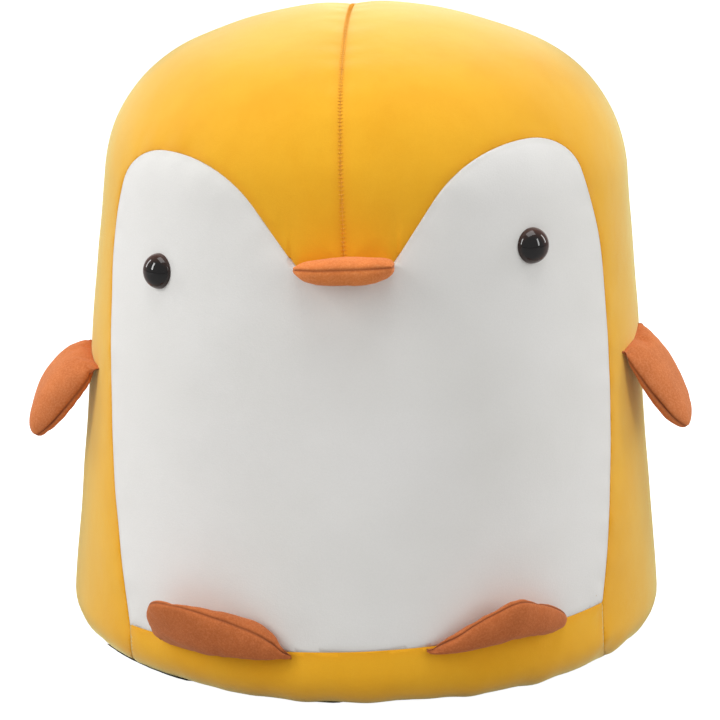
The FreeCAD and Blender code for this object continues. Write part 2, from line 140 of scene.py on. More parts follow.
# Stuffed pouches: sections are (place along the half width, share of the reach, share of the first panel's
# bulge, share of the second's), in the order of a pouch on the right. Peaks say how far out each is fullest.
ROOT_GAP = 0.001
ROOT_TUCK = 0.0035
ROOT_PINCH = 0.05
WING = {
    "half_width": 0.0255, "reach": 0.057, "peaks": (0.5, 0.68), "corner": 0.16,
    "sections": [(-1, 0.45, 0.6, 0.6), (-0.6, 0.80, 0.9, 0.9), (0, 0.97, 1, 1), (0.5, 1, 1, 1),
                 (1, 0.70, 0.65, 0.65)],
    "panels": ("outer_panel", "inner_panel"), "slot": "orange_suede", "cloth": "orange_suede",
}
LEFT_WING = {**WING, "bulges": (0.0135, 0.006)}
RIGHT_WING = {**WING, "reach": 0.0582, "bulges": (0.0070, 0.0078)}
FOOT = {
    "reach": 0.033, "peaks": (0.7, 0.5), "corner": 0.05, "panels": ("top_panel", "sole_panel"),
    "slot": "brown_suede", "cloth": "brown_suede",
}
LEFT_FOOT = {
    **FOOT, "half_width": 0.0435, "bulges": (0.012, 0.010),
    "sections": [(-1, 0.76, 0.25, 0.4), (-0.8, 1.08, 0.35, 0.5), (-0.35, 1.20, 0.5, 0.75),
                 (0.2, 0.95, 0.75, 0.95), (0.65, 0.62, 0.9, 0.72), (1, 0.18, 0.25, 0.35)],
}
RIGHT_FOOT = {
    **FOOT, "half_width": 0.0445, "bulges": (0.0055, 0.0085),
    "sections": [(-1, 0.32, 0.4, 0.4), (-0.8, 0.52, 0.6, 0.65), (-0.4, 0.84, 0.8, 0.95), (-0.05, 1.0, 1, 1),
                 (0.2, 0.86, 0.9, 0.95), (0.45, 0.66, 0.7, 0.8), (0.7, 0.43, 0.5, 0.6), (1, 0.17, 0.3, 0.35)],
}
# The beak's cloth is the orange suede painted paler: painted light from above on its upper face.
BEAK = {
    "half_width": 0.0275, "reach": 0.022, "bulges": (0.0056, 0.0095), "peaks": (0.6, 0.6), "corner": 0.05,
    "sections": [(-1, 0.9, 1.2, 0.8), (-0.7, 0.97, 0.97, 0.92), (0, 1, 1, 1), (0.7, 0.9, 0.8, 0.8),
                 (1, 0.62, 0.45, 0.45)],
    "panels": ("upper_panel", "lower_panel"), "slot": "orange_suede", "cloth": "beak_suede_painted_light",
}
CELL_CORNERS = [(0, 0), (1, 0), (1, 1), (0, 1)]
RIM_STEEPNESS = 0.55
END_SHARPNESS = 6
FOOT_SEAM_HEIGHT = BELLY_CORNER[1] - 0.001
# Each pouch: name, kind, side, azimuth on the cover, height, and its seam's slope and its middle's rise.
POUCHES = [
    ("beak", BEAK, 1, 0, 0.2470, 0, 4.5),
    ("left_wing", LEFT_WING, -1, -76, 0.1745, -6.5, -50.5),
    ("right_wing", RIGHT_WING, 1, 76, 0.1745, 6.5, -53.5),
    ("left_foot", LEFT_FOOT, -1, -25.8, FOOT_SEAM_HEIGHT, 0, 50),
    ("right_foot", RIGHT_FOOT, 1, 26.2, FOOT_SEAM_HEIGHT, 0, 50),
]
GRID_STEP = 0.0018
START_FULLNESS = 0.92
FIBRE_ROOM = 0.6
HELD_REACH = 0.0035
SWELL_LIMIT = 0.004
SWELL_PRESSURE = 4.0
SWELL_GROWTH = 0.04
SWELL_FRAMES = 20
RIM_DEPTH = 0.0011
RIM_WIDTH = 0.0008
RIM_PUCKER = 0.0005
RIM_PUCKER_RATE = 190.0
RIM_PUCKER_REACH = 0.0035
POUCH_SOFTNESS = 0.0005
POUCH_SOFT_RATE = 60
BEND_BEFORE = 0.001
BEND_AFTER = 0.008

LEAN = (Matrix.Translation((0, 0, LEAN_HEIGHT)) @ Matrix.Rotation(COVER_LEAN, 4, (0, -1, 0))
        @ Matrix.Translation((0, 0, -LEAN_HEIGHT)))
LEFT, RIGHT, BELLY, HEM, OPENING = range(5)
BORDER = -1

AMBIENT = 0.46
FLOOR_LIFT = 0.97


# ---------------------------------------------------------------- the drum's shape

def arc(centre, radius, first, last, step=0.0005):
    """Points along an arc and their outward normals."""
    turn = np.linspace(first, last, max(2, int(abs(last - first) * radius / step)))
    normals = np.column_stack([np.cos(turn), np.sin(turn)])
    return np.array(centre) + radius * normals, normals


def straight(start, end, normal, step=0.0005):
    """Points along a straight stretch and their outward normals."""
    count = max(2, int(math.dist(start, end) / step))
    return np.linspace(start, end, count), np.tile(normal, (count, 1))


def wall_radius(height):
    return BASE_RADIUS - (height - HEM_BOTTOM) * math.tan(WALL_TAPER)


def drum_section():
    """Points (radius, height) and normals of the cover's half section, from the crown to the underside."""
    slope, cosine = math.tan(WALL_TAPER), math.cos(WALL_TAPER)
    crown_centre = CROWN_TOP - CROWN_RADIUS
    inner_foot = BASE_RADIUS + HEM_BOTTOM * slope - SHOULDER_RADIUS / cosine
    square = 1 + slope ** 2
    linear = inner_foot * slope + crown_centre
    plain = inner_foot ** 2 + crown_centre ** 2 - (CROWN_RADIUS - SHOULDER_RADIUS) ** 2
    height = (linear + math.sqrt(linear ** 2 - square * plain)) / square
    shoulder = (inner_foot - height * slope, height)
    lift = math.atan2(height - crown_centre, shoulder[0])
    hem_height = HEM_BOTTOM + HEM_RADIUS
    hem = (wall_radius(hem_height) - HEM_RADIUS / cosine, hem_height)
    out = Vector((math.cos(WALL_TAPER), math.sin(WALL_TAPER)))
    wall = (Vector(shoulder) + out * SHOULDER_RADIUS, Vector(hem) + out * HEM_RADIUS)
    stretches = [
        arc((0, crown_centre), CROWN_RADIUS, math.pi / 2, lift),
        arc(shoulder, SHOULDER_RADIUS, lift, WALL_TAPER),
        straight(*wall, out),
        arc(hem, HEM_RADIUS, WALL_TAPER, -math.pi / 2),
        straight((hem[0], HEM_BOTTOM), (0, HEM_BOTTOM), (0, -1)),
    ]
    points, normals = zip(*stretches)
    return np.vstack(points), np.vstack(normals)


SECTION, SECTION_NORMALS = drum_section()
SECTION_ANGLES = np.arctan2(SECTION[:, 1] - LEAN_HEIGHT, SECTION[:, 0])


def on_drum(directions, inset=0.0):
    """Where rays from the drum's middle meet its outer face, pulled in by an inset, and the normals there."""
    across = np.hypot(directions[:, 0], directions[:, 1])
    angles = np.arctan2(directions[:, 2], across)
    columns = [np.interp(angles, SECTION_ANGLES[::-1], table[::-1])
               for table in (*SECTION.T, *SECTION_NORMALS.T)]
    radius, height, out, up = columns
    turn = directions[:, :2] / np.maximum(across, 1e-12)[:, None]
    points = np.column_stack([turn * radius[:, None], height])
    normals = np.column_stack([turn * out[:, None], up])
    return points - normals * np.asarray(inset).reshape(-1, 1), normals


def ball_mesh(cells):
    """A cube blown up to a ball of even quads, as a bmesh; its vertices are unit directions."""
    form = bmesh.new()
    bmesh.ops.create_cube(form, size=2.0)
    bmesh.ops.subdivide_edges(form, edges=form.edges[:], cuts=cells - 1, use_grid_fill=True)
    for vertex in form.verts:
        vertex.co = Vector(math.tan(value * math.pi / 4) for value in vertex.co).normalized()
    return form


def coordinates(form):
    return np.array([vertex.co for vertex in form.verts])


def leaning(points, matrix=LEAN):
    return points @ np.array(matrix.to_3x3()).T + np.array(matrix.translation)


def arc_between(start, end, radius, count=14):
    """Points of a counter-clockwise arc from start to end, without its start."""
    start, end = Vector(start), Vector(end)
    chord = end - start
    left = Vector((-chord.y, chord.x)).normalized()
    centre = (start + end) / 2 + left * math.sqrt(radius ** 2 - (chord.length / 2) ** 2)
    first = math.atan2(*(start - centre).yx)
    last = math.atan2(*(end - centre).yx)
    turn = (last - first) % (2 * math.pi)
    angles = [first + turn * step / count for step in range(1, count + 1)]
    return [centre + radius * Vector((math.cos(angle), math.sin(angle))) for angle in angles]


def belly_outline():
    """The white panel's closed outline in front view, counter-clockwise from its lower right corner."""
    right = [Vector(BELLY_CORNER)]
    for end, radius in BELLY_STRETCHES:
        right += arc_between(right[-1], end, radius) if radius else [Vector(end)]
    left = [Vector((-spot.x, spot.y)) for spot in reversed(right)]
    return np.array(right + left)


OUTLINE = belly_outline()


def inside_outline(x, z):
    """Whether points in front view lie inside the belly's outline, by counting its edges to one side."""
    inside = np.zeros(len(x), bool)
    for (x0, z0), (x1, z1) in zip(OUTLINE, np.roll(OUTLINE, -1, axis=0)):
        if z0 != z1:
            inside ^= ((z0 > z) != (z1 > z)) & (x < x0 + (z - z0) * (x1 - x0) / (z1 - z0))
    return inside


def cover_region(points):
    """Which panel of the cover each point belongs to."""
    x, y, z = leaning(points, LEAN.inverted()).T
    region = np.where(x < 0, LEFT, RIGHT)
    region[(y < 0) & (np.abs(x) < BELLY_CORNER[0]) & (z < BELLY_CORNER[1])] = HEM
    region[(y < 0) & inside_outline(x, z)] = BELLY
    low = points[:, 2] < HEM_RADIUS
    region[low & (np.hypot(points[:, 0], points[:, 1]) < FOLD_UNDER_RADIUS)] = OPENING
    return region


# ---------------------------------------------------------------- cutting a mesh into panels

def crossings(starts, ends, regions, region_of):
    """How far along each edge the region of its start ends."""
    low, high = np.zeros(len(starts)), np.ones(len(starts))
    for _ in range(22):
        middle = (low + high) / 2
        same = region_of(starts + (ends - starts) * middle[:, None]) == regions
        low, high = np.where(same, middle, low), np.where(same, high, middle)
    return (low + high) / 2


def edges_across(form, region_of):
    """Edges whose ends lie in different regions, and how far along each the border is."""
    form.verts.index_update()
    form.edges.ensure_lookup_table()
    spots = coordinates(form)
    regions = region_of(spots)
    ends = np.array([[vertex.index for vertex in edge.verts] for edge in form.edges])
    chosen = np.flatnonzero(regions[ends[:, 0]] != regions[ends[:, 1]])
    first, last = ends[chosen].T
    shares = crossings(spots[first], spots[last], regions[first], region_of)
    return [form.edges[index] for index in chosen], shares, regions


def tree_of(spots):
    """A search tree of points."""
    tree = KDTree(len(spots))
    for index, spot in enumerate(spots):
        tree.insert(spot, index)
    tree.balance()
    return tree


def refine_borders(form, region_of, reach):
    """Halve the mesh's cells within reach of a border."""
    edges, shares, _ = edges_across(form, region_of)
    tree = tree_of([edge.verts[0].co.lerp(edge.verts[1].co, share) for edge, share in zip(edges, shares)])
    near = [edge for edge in form.edges if all(tree.find(vertex.co)[2] < reach for vertex in edge.verts)]
    bmesh.ops.subdivide_edges(form, edges=near, cuts=1, use_grid_fill=True)


def cut_borders(form, region_of, corners):
    """Cut the mesh along the borders between regions. Returns the border's vertices.

    A vertex close to a border slides onto it. Any other crossing edge is split there, and the new vertices
    are joined across their faces. Where three regions meet, the face gets a vertex at the corner.
    """
    edges, shares, regions = edges_across(form, region_of)
    label = {vertex: int(region) for vertex, region in zip(form.verts, regions)}
    slides = {}
    for edge, share in zip(edges, shares):
        spot = edge.verts[0].co.lerp(edge.verts[1].co, share)
        for vertex, gap in ((edge.verts[0], share), (edge.verts[1], 1 - share)):
            if gap < BORDER_SLIDE and gap < slides.get(vertex, (1, None))[0]:
                slides[vertex] = (gap, spot)
    for vertex, (_, spot) in slides.items():
        vertex.co = spot
        label[vertex] = BORDER
    for edge, share in zip(edges, shares):
        first, last = edge.verts
        if label[first] != BORDER and label[last] != BORDER:
            _, added = bmesh.utils.edge_split(edge, first, share)
            label[added] = BORDER
    border = [vertex for vertex in form.verts if label[vertex] == BORDER]
    for face in {face for vertex in border for face in vertex.link_faces}:
        join_across(form, face, label, corners)
    return [vertex for vertex in form.verts if label[vertex] == BORDER]


def join_across(form, face, label, corners):
    """Cut one face between the border vertices that part its regions."""
    loop = list(face.verts)
    kinds = {label[vertex] for vertex in loop} - {BORDER}
    if len(kinds) < 2:
        return
    if len(kinds) > 2:
        middle = face.calc_center_median()
        centre = bmesh.ops.poke(form, faces=[face])["verts"][0]
        centre.co = min(corners, key=lambda corner: (Vector(corner) - middle).length)
        label[centre] = BORDER
        return
    marks = [index for index, vertex in enumerate(loop) if label[vertex] == BORDER]
    best = None
    for place, first in enumerate(marks):
        for last in marks[place + 1:]:
            one = {label[vertex] for vertex in loop[first + 1:last]} - {BORDER}
            other = {label[vertex] for vertex in loop[last + 1:] + loop[:first]} - {BORDER}
            length = (loop[first].co - loop[last].co).length
            if len(one) == len(other) == 1 and (best is None or length < best[0]):
                best = (length, first, last)
    if best:
        bmesh.utils.face_split(face, loop[best[1]], loop[best[2]])


def border_edges(form, border, region_of):
    """Edges between border vertices that part two regions."""
    marked = set(border)
    found = []
    for edge in form.edges:
        if edge.verts[0] in marked and edge.verts[1] in marked and len(edge.link_faces) == 2:
            centres = np.array([face.calc_center_median() for face in edge.link_faces])
            if len(set(region_of(centres).tolist())) == 2:
                found.append(edge)
    return found


def seam_tree(edges, spacing=0.0006):
    """A search tree of closely spaced points along seam edges."""
    spots = []
    for edge in edges:
        start, end = (vertex.co.copy() for vertex in edge.verts)
        count = max(1, int((end - start).length / spacing))
        spots += [start.lerp(end, step / count) for step in range(count + 1)]
    return tree_of(spots)


# ---------------------------------------------------------------- mesh and piece helpers

def mesh_from(name, spots, faces, values=None):
    """A smooth mesh object; values are named numbers or vectors for each vertex."""
    mesh = bpy.data.meshes.new(name)
    mesh.from_pydata([tuple(spot) for spot in spots], [], [tuple(face) for face in faces])
    mesh.shade_smooth()
    piece = bpy.data.objects.new(name, mesh)
    bpy.context.scene.collection.objects.link(piece)
    if values:
        record(mesh, values)
    return piece


def record(mesh, values):
    """Store named numbers or vectors on the mesh's vertices."""
    for key, numbers in values.items():
        numbers = np.asarray(numbers, np.float32)
        kind, field = ("FLOAT_VECTOR", "vector") if numbers.ndim == 2 else ("FLOAT", "value")
        layer = mesh.attributes.new(key, kind, "POINT")
        layer.data.foreach_set(field, numbers.ravel())


def mesh_points(mesh):
    spots = np.empty(len(mesh.vertices) * 3)
    mesh.vertices.foreach_get("co", spots)
    return spots.reshape(-1, 3)


def apply_modifiers(piece):
    """Replace the piece's mesh with its evaluated one."""
    graph = bpy.context.evaluated_depsgraph_get()
    made = bpy.data.meshes.new_from_object(piece.evaluated_get(graph))
    piece.modifiers.clear()
    piece.data = made
    made.shade_smooth()


def refine(piece):
    """Subdivide a piece smoothly, once."""
    smooth = piece.modifiers.new("smooth", "SUBSURF")
    smooth.levels = smooth.render_levels = 1
    apply_modifiers(piece)


def thicken(piece, thickness, offset):
    """Give a sheet its cloth's thickness, inwards at an offset of -1 and half each way at 0."""
    solid = piece.modifiers.new("thickness", "SOLIDIFY")
    solid.thickness = thickness
    solid.offset = offset
    apply_modifiers(piece)


def weld(mesh):
    """Join the vertices that share a place, and point the faces outwards."""
    form = bmesh.new()
    form.from_mesh(mesh)
    bmesh.ops.remove_doubles(form, verts=form.verts, dist=WELD_REACH)
    bmesh.ops.recalc_face_normals(form, faces=form.faces)
    form.to_mesh(mesh)
    form.free()
    mesh.shade_smooth()


def finish_piece(piece, material, body, nodes=(), bend=None):
    """Material, slot and replaced nodes of a piece that moves with a body or, given a bend, keeps its place
    with its transform applied.
    """
    piece.data.materials.clear()
    piece.data.materials.append(material)
    if bend:
        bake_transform(piece)
    else:
        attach(piece, body)
    if nodes:
        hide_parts(*nodes)


# ---------------------------------------------------------------- the cover

def cover_corners():
    """Places on the drum where three panels meet."""
    flat = [(-BELLY_CORNER[0], BELLY_CORNER[1]), BELLY_CORNER, (0, BEAK_SEAM_HEIGHT)]
    spots = []
    for x, z in flat:
        radius = wall_radius(z)
        spot = Vector((x, -math.sqrt(radius ** 2 - x ** 2), z))
        direction = LEAN @ spot - Vector((0, 0, LEAN_HEIGHT))
        spots.append(Vector(on_drum(np.array([direction]))[0][0]))
    return spots


def cover_relief(spot, distance, nearest, broad):
    """How far a point of the cover moves out: seams pull in, cloth gathers beside them, padding is soft.

    The broad middle seam pulls in more than the others.
    """
    groove = SEAM_DEPTH * math.exp(-distance / SEAM_WIDTH) * (1 if broad else 0.6)
    valley = VALLEY_DEPTH * math.exp(-(distance / VALLEY_WIDTH) ** 2) * (1 if broad else 0.2)
    share = distance / PUCKER_REACH
    gather = PUCKER_DEPTH * noise.noise(nearest * PUCKER_RATE) * share * math.exp(1 - share)
    soft = SOFTNESS * noise.noise(spot * SOFT_RATE) + 0.4 * SOFTNESS * noise.noise(spot * SOFT_RATE * 2.7)
    ripple = 0.0
    if spot.z < HEM_RADIUS:
        around = Vector((spot.x, spot.y, 0)).normalized()
        ripple = HEM_RIPPLE * noise.noise(around * 9.0) * (1 - spot.z / HEM_RADIUS)
    return gather + soft + ripple - groove - valley


def face_regions(form, faces, border, spots):
    """The panel each face belongs to: that of a corner off the seams or, without one, of its middle."""
    marked = {vertex.index for vertex in border}
    by_corner = cover_region(spots)
    by_middle = cover_region(np.array([face.calc_center_median() for face in form.faces]))
    free = [next((corner for corner in face if corner not in marked), None) for face in faces]
    return [by_corner[corner] if corner is not None else region for corner, region in zip(free, by_middle)]


def make_cover(velvet, brushed):
    """The sewn cover, cut from one fine drum along its seams into four panels."""
    form = ball_mesh(FACE_CELLS)
    for vertex, spot in zip(form.verts, on_drum(coordinates(form))[0]):
        vertex.co = spot
    refine_borders(form, cover_region, FINE_BAND)
    for vertex, spot in zip(form.verts, on_drum(coordinates(form) - (0, 0, LEAN_HEIGHT))[0]):
        vertex.co = spot
    border = cut_borders(form, cover_region, cover_corners())
    tree = seam_tree(border_edges(form, border, cover_region))
    spots, normals = on_drum(coordinates(form) - (0, 0, LEAN_HEIGHT))
    flat = leaning(spots, LEAN.inverted())
    reach = np.empty(len(spots))
    moved = np.empty_like(spots)
    for index, (spot, normal) in enumerate(zip(spots, normals)):
        nearest, _, distance = tree.find(spot)
        reach[index] = distance
        x, y, z = flat[index]
        broad = abs(x) < MIDDLE_SEAM_REACH and (y > 0 or z > BEAK_SEAM_HEIGHT)
        moved[index] = spot + normal * cover_relief(Vector(spot), distance, nearest, broad)
    moved[:, 2] = np.maximum(moved[:, 2], LOWEST_COVER)
    form.verts.index_update()
    faces = [[vertex.index for vertex in face.verts] for face in form.faces]
    regions = face_regions(form, faces, border, spots)
    form.free()
    panels = {
        LEFT: ("left_side_cloth", velvet, "yellow_plush", "left_side_panel"),
        RIGHT: ("right_side_cloth", velvet, "yellow_plush", "right_side_panel"),
        BELLY: ("belly_cloth", brushed, "white_plush", "belly_panel"),
        HEM: ("front_hem_cloth", velvet, "yellow_plush", "front_hem_band"),
    }
    for region, (name, material, slot, node) in panels.items():
        chosen = [face for face, kind in zip(faces, regions) if kind == region]
        used = sorted({corner for face in chosen for corner in face})
        place = {corner: index for index, corner in enumerate(used)}
        piece = mesh_from(name, moved[used], [[place[corner] for corner in face] for face in chosen],
                          {"seam": reach[used], "rest": spots[used]})
        thicken(piece, CLOTH, -1)
        finish_piece(piece, material, "stool", [node])


def seam_path(first, last, step):
    """Evenly spaced points, normals and directions on the middle seam, between two angles over the crown."""
    turn = np.linspace(first, last, 900)
    flat = np.column_stack([np.zeros(900), -np.cos(turn), np.sin(turn)])
    spots, normals = on_drum(flat @ np.array(LEAN.to_3x3()).T)
    run = np.concatenate([[0], np.cumsum(np.linalg.norm(np.diff(spots, axis=0), axis=1))])
    places = np.arange(step / 2, run[-1], step)
    even = np.column_stack([np.interp(places, run, column) for column in spots.T])
    out = np.column_stack([np.interp(places, run, column) for column in normals.T])
    return even, out, np.gradient(even, axis=0)


def make_seam_thread(material):
    """The ladder of small stitches that shows in the middle seam, over the crown and down the back."""
    first = math.atan2(BEAK_SEAM_HEIGHT - LEAN_HEIGHT, wall_radius(BEAK_SEAM_HEIGHT)) + SEAM_END_TURN
    low = math.atan2(HEM_RADIUS - LEAN_HEIGHT, wall_radius(HEM_RADIUS))
    places, normals, runs = seam_path(first, math.pi - low - SEAM_END_TURN, STITCH_STEP)
    rings, sides = 5, 6
    spots, faces = [], []
    for place, normal, run in zip(places, normals, runs):
        normal, run = Vector(normal), Vector(run).normalized()
        across = run.cross(normal).normalized()
        base = len(spots)
        sunk = Vector(place) - normal * (SEAM_DEPTH * 0.55 + VALLEY_DEPTH)
        for ring in range(rings):
            share = 2 * ring / (rings - 1) - 1
            thick = STITCH_RADIUS * (1 - 0.75 * share ** 4)
            middle = sunk + across * share * STITCH_HALF_LENGTH + normal * 0.0002 * share ** 2
            for side in range(sides):
                angle = 2 * math.pi * side / sides
                spots.append(middle + thick * (run * math.cos(angle) + normal * math.sin(angle)))
        for ring in range(rings - 1):
            for side in range(sides):
                near, far = base + ring * sides + side, base + ring * sides + (side + 1) % sides
                faces.append((near, far, far + sides, near + sides))
        faces.append([base + side for side in reversed(range(sides))])
        faces.append([base + (rings - 1) * sides + side for side in range(sides)])
    piece = mesh_from("crown_seam_thread", spots, faces)
    finish_piece(piece, material, "stool")


# ---------------------------------------------------------------- stuffed pouches

def on_cover(azimuth, height, stand_off=0.0):
    """Place on the upright drum of a spot of the leaning pattern: local +Y points out, local +Z up."""
    radius = wall_radius(height)
    mark = LEAN @ Vector((radius * math.sin(azimuth), -radius * math.cos(azimuth), height))
    turn = math.atan2(mark.x, -mark.y)
    radius = wall_radius(mark.z) + stand_off
    spot = Vector((radius * math.sin(turn), -radius * math.cos(turn), mark.z))
    twist = Matrix.Rotation(COVER_LEAN * math.cos(turn), 4, "Y")
    return Matrix.Translation(spot) @ Matrix.Rotation(turn + math.pi, 4, "Z") @ twist


def curve_through(places, values):
    """A smooth function of place through the given values."""
    order = np.argsort(places)
    places, values = np.array(places)[order], np.array(values)[order]
    slopes = np.gradient(values, places)

    def value_at(place):
        index = min(max(int(np.searchsorted(places, place)) - 1, 0), len(places) - 2)
        width = places[index + 1] - places[index]
        t = (place - places[index]) / width
        return (values[index] * (1 + 2 * t) * (1 - t) ** 2 + values[index + 1] * t * t * (3 - 2 * t)
                + width * (slopes[index] * t * (1 - t) ** 2 - slopes[index + 1] * t * t * (1 - t)))

    return value_at


def fullness_at(v, peak):
    """Height of a stuffed section, 1 at its peak: gentle at the root, steep at the rim."""
    root_steepness = RIM_STEEPNESS * peak / (1 - peak)
    return (v / peak) ** root_steepness * ((1 - v) / (1 - peak)) ** RIM_STEEPNESS


def crowded(even, share):
    """Even places from 0 out to 1 or -1, crowded towards the ends by a share."""
    return share * np.sin(even * math.pi / 2) + (1 - share) * even


def pouch_grid(kind, side, height, rise, columns, rows, room=1.0):
    """A closed pouch as a grid of columns along its seam and rows out from it, twice over; room shrinks it.

    Returns vertices, faces, the number of faces of the upper panel, and the root's and the rim's vertices.
    """
    places, *shares = (np.array(kind["sections"], float) * (side, 1, 1, 1)).T
    reach_at, *bulges_at = (curve_through(places, values) for values in shares)
    radius = wall_radius(height) + ROOT_GAP
    along = crowded(np.linspace(-1, 1, columns), 0.6)
    outward = crowded(np.linspace(0, 1, rows), 0.75)
    spots, index = [], {}
    for layer, (bulge, bulge_at, peak) in enumerate(zip(kind["bulges"], bulges_at, kind["peaks"])):
        facing = 1 - 2 * layer
        for column, u in enumerate(along):
            for row, v in enumerate(outward):
                outline = row in (0, rows - 1) or column in (0, columns - 1)
                if layer and outline:
                    index[layer, column, row] = index[0, column, row]
                    continue
                narrowing = kind["corner"] * v ** 3 * u ** 6 + ROOT_PINCH * (1 - v) ** 8
                x = u * room * kind["half_width"] * (1 - narrowing)
                out = reach_at(u * room) * kind["reach"] * ((1 - room) / 2 + v * room)
                lift = 0.0
                if not outline:
                    end = (1 - abs(u) ** END_SHARPNESS) ** RIM_STEEPNESS
                    share = bulge_at(u * room) * fullness_at(v, peak) * end
                    lift = facing * bulge * START_FULLNESS * room ** 2 * share
                across = -radius + math.sqrt(radius ** 2 - x ** 2)
                if row == 0:
                    across -= ROOT_TUCK
                y = across + out * math.cos(rise) - lift * math.sin(rise)
                z = out * math.sin(rise) + lift * math.cos(rise)
                index[layer, column, row] = len(spots)
                spots.append(Vector((x, y, z)))
    faces = [[index[layer, column + across, row + out] for across, out in CELL_CORNERS[::1 - 2 * layer]]
             for layer in (0, 1) for column in range(columns - 1) for row in range(rows - 1)]
    root = [index[0, column, 0] for column in range(columns)]
    left = [index[0, 0, row] for row in range(rows)]
    right = [index[0, columns - 1, row] for row in range(rows)]
    top = [index[0, column, rows - 1] for column in range(columns)]
    return spots, faces, len(faces) // 2, root, left + top[1:-1] + right[::-1]


def swell(piece, root):
    """Inflate a closed pouch as cloth, held along its root seam, and cap how far any vertex moves."""
    start = mesh_points(piece.data)
    gaps = np.linalg.norm(start[:, None] - start[root][None], axis=2).min(axis=1)
    held = piece.vertex_groups.new(name="held")
    held.add(np.flatnonzero(gaps < HELD_REACH).tolist(), 1.0, "REPLACE")
    cloth = piece.modifiers.new("cloth", "CLOTH")
    cloth.settings.vertex_group_mass = "held"
    cloth.settings.quality = 6
    cloth.settings.use_pressure = True
    cloth.settings.uniform_pressure_force = SWELL_PRESSURE
    cloth.settings.shrink_min = -SWELL_GROWTH
    cloth.settings.effector_weights.gravity = 0
    cloth.settings.bending_stiffness = 0.2
    cloth.collision_settings.use_collision = False
    for number in range(1, SWELL_FRAMES + 1):
        bpy.context.scene.frame_set(number)
    graph = bpy.context.evaluated_depsgraph_get()
    end = mesh_points(piece.evaluated_get(graph).data)
    move = end - start
    far = np.linalg.norm(move, axis=1)
    move *= (SWELL_LIMIT * np.tanh(far / SWELL_LIMIT) / np.maximum(far, 1e-9))[:, None]
    piece.modifiers.clear()
    piece.vertex_groups.clear()
    bpy.context.scene.frame_set(1)
    piece.data.vertices.foreach_set("co", (start + move).ravel())
    piece.data.update()


def rim_relief(piece, rim, phase):
    """Sink the sewn rim, gather the cloth beside it and record each vertex's distance from it."""
    spots = mesh_points(piece.data)
    tree = tree_of(rim)
    distances = np.empty(len(spots))
    for vertex in piece.data.vertices:
        nearest, _, distance = tree.find(vertex.co)
        distances[vertex.index] = distance
        share = distance / RIM_PUCKER_REACH
        gather = RIM_PUCKER * noise.noise(nearest * RIM_PUCKER_RATE + phase) * share * math.exp(1 - share)
        soft = POUCH_SOFTNESS * noise.noise(vertex.co * POUCH_SOFT_RATE + phase)
        sunk = RIM_DEPTH * math.exp(-distance / RIM_WIDTH)
        spots[vertex.index] += np.array(vertex.normal) * (gather + soft - sunk)
    piece.data.vertices.foreach_set("co", spots.ravel())
    record(piece.data, {"seam": distances, "rest": mesh_points(piece.data)})
    piece.data.update()


def dense_line(piece, numbers, steps=6):
    """Closely spaced points along a run of the piece's vertices."""
    spots = [piece.data.vertices[number].co.copy() for number in numbers]
    return [start.lerp(end, step / steps) for start, end in zip(spots, spots[1:]) for step in range(steps)]


def panel_of(piece, name, material_index):
    """A new object with the piece's faces of one material index."""
    form = bmesh.new()
    form.from_mesh(piece.data)
    others = [face for face in form.faces if face.material_index != material_index]
    bmesh.ops.delete(form, geom=others, context="FACES")
    mesh = bpy.data.meshes.new(name)
    form.to_mesh(mesh)
    form.free()
    for face in mesh.polygons:
        face.material_index = 0
    panel = bpy.data.objects.new(name, mesh)
    bpy.context.scene.collection.objects.link(panel)
    return panel


def make_pouch(spec, cloths, fibre):
    name, kind, side, azimuth, height, slope, rise = spec
    rise = math.radians(rise)
    place = on_cover(math.radians(azimuth), height, ROOT_GAP) @ Matrix.Rotation(math.radians(slope), 4, "Y")
    columns = 2 * round(kind["half_width"] / GRID_STEP) + 1
    rows = round(kind["reach"] / GRID_STEP) + 1
    spots, faces, upper, root, rim = pouch_grid(kind, side, height, rise, columns, rows)
    pouch = mesh_from(name + "_form", [place @ spot for spot in spots], faces)
    material = cloths[kind["cloth"]]
    pouch.data.materials.append(material)
    pouch.data.materials.append(material)
    for face in pouch.data.polygons[upper:]:
        face.material_index = 1
    swell(pouch, root)
    line = dense_line(pouch, rim)
    refine(pouch)
    rim_relief(pouch, line, Vector((azimuth, side, 0)))
    hinge = Vector(next(joint["pos_m"] for joint in frame["joints"] if joint["child"] == name))
    away = (place.to_3x3() @ Vector((0, math.cos(rise), math.sin(rise)))).normalized()
    bend = (hinge - away * BEND_BEFORE, hinge + away * BEND_AFTER)
    for index, panel in enumerate(kind["panels"]):
        cloth = panel_of(pouch, f"{name}_{panel.split('_')[0]}_cloth", index)
        finish_piece(cloth, material, name, [f"{name}_{panel}"], bend=bend)
    bpy.data.objects.remove(pouch)
    spots, faces, *_ = pouch_grid(kind, side, height, rise, columns // 2, rows // 2, FIBRE_ROOM)
    filling = mesh_from(name + "_fibre", [place @ spot for spot in spots], faces)
    refine(filling)
    finish_piece(filling, fibre, name, [f"{name}_stuffing"], bend=bend)


# ---------------------------------------------------------------- padding and base cloth

def turned_faces(segments, count, closed=False):
    """Quads between neighbouring rows of points, count to a row, all round an axis."""
    faces = []
    for step in range(segments):
        here, there = step * count, (step + 1) % segments * count
        for place in range(count if closed else count - 1):
            after = (place + 1) % count
            faces.append((here + place, there + place, there + after, here + after))
    return faces


def lathe(name, outline, segments=144):
    """A closed solid turned from an outline of (radius, height) points, which ends on the axis or closes."""
    spots = []
    for step in range(segments):
        angle = 2 * math.pi * step / segments
        spots += [(radius * math.cos(angle), radius * math.sin(angle), height)
                  for radius, height in outline]
    piece = mesh_from(name, spots, turned_faces(segments, len(outline), closed=outline[0][0] > 0))
    weld(piece.data)
    return piece


